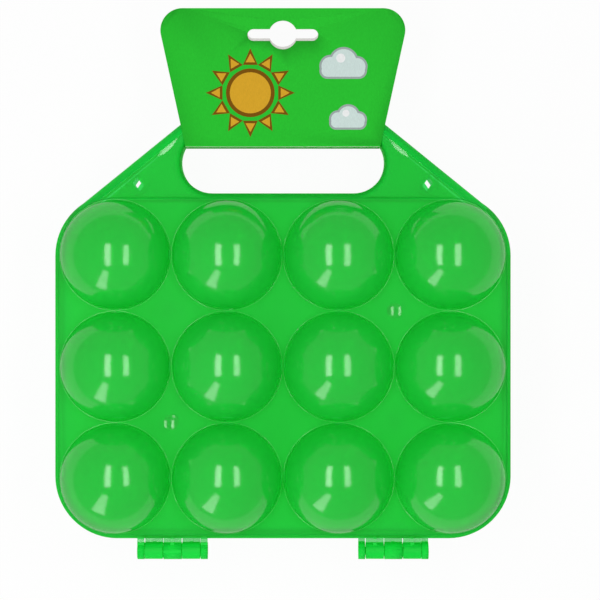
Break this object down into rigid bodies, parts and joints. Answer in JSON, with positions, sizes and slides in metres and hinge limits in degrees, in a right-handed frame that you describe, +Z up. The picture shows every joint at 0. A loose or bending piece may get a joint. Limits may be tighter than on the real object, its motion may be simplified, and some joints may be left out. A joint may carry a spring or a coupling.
{
  "type": "egg tray",
  "caption": "Hinged carrying tray of two equal translucent plastic halves with round egg cups, a grip with a finger opening, moulded snap hinges and a folded display card.",
  "frame": {"origin": "middle of the outline on the surface that the base cups stand on", "axes": "+Z up through the lid, +Y from the hinge to the handle and card, +X along the long side of the cups"},
  "size_m": [0.198, 0.2386, 0.0666],
  "materials": {
    "shell_plastic": "glossy translucent",
    "card_board": "printed, semi-gloss"
  },
  "bodies": {
    "base": {"base_deck": "shell_plastic", "base_cup_1_1": "shell_plastic", "base_cup_1_2": "shell_plastic", "base_cup_1_3": "shell_plastic", "base_cup_1_4": "shell_plastic", "base_cup_2_1": "shell_plastic", "base_cup_2_2": "shell_plastic", "base_cup_2_3": "shell_plastic", "base_cup_2_4": "shell_plastic", "base_cup_3_1": "shell_plastic", "base_cup_3_2": "shell_plastic", "base_cup_3_3": "shell_plastic", "base_cup_3_4": "shell_plastic"},
    "lid": {"lid_deck": "shell_plastic", "lid_cup_1_1": "shell_plastic", "lid_cup_1_2": "shell_plastic", "lid_cup_1_3": "shell_plastic", "lid_cup_1_4": "shell_plastic", "lid_cup_2_1": "shell_plastic", "lid_cup_2_2": "shell_plastic", "lid_cup_2_3": "shell_plastic", "lid_cup_2_4": "shell_plastic", "lid_cup_3_1": "shell_plastic", "lid_cup_3_2": "shell_plastic", "lid_cup_3_3": "shell_plastic", "lid_cup_3_4": "shell_plastic"},
    "card": {"header_card": "card_board"}
  },
  "joints": [
    {"name": "lid_hinge", "type": "hinge", "parent": "base", "child": "lid", "pos_m": [0, -0.1156, 0.03331], "axis": [1, 0, 0], "range_deg": [0, 180]},
    {"name": "card_slide", "type": "slide", "parent": "lid", "child": "card", "axis": [0, 1, 0], "range_m": [-0.004, 0]}
  ]
}
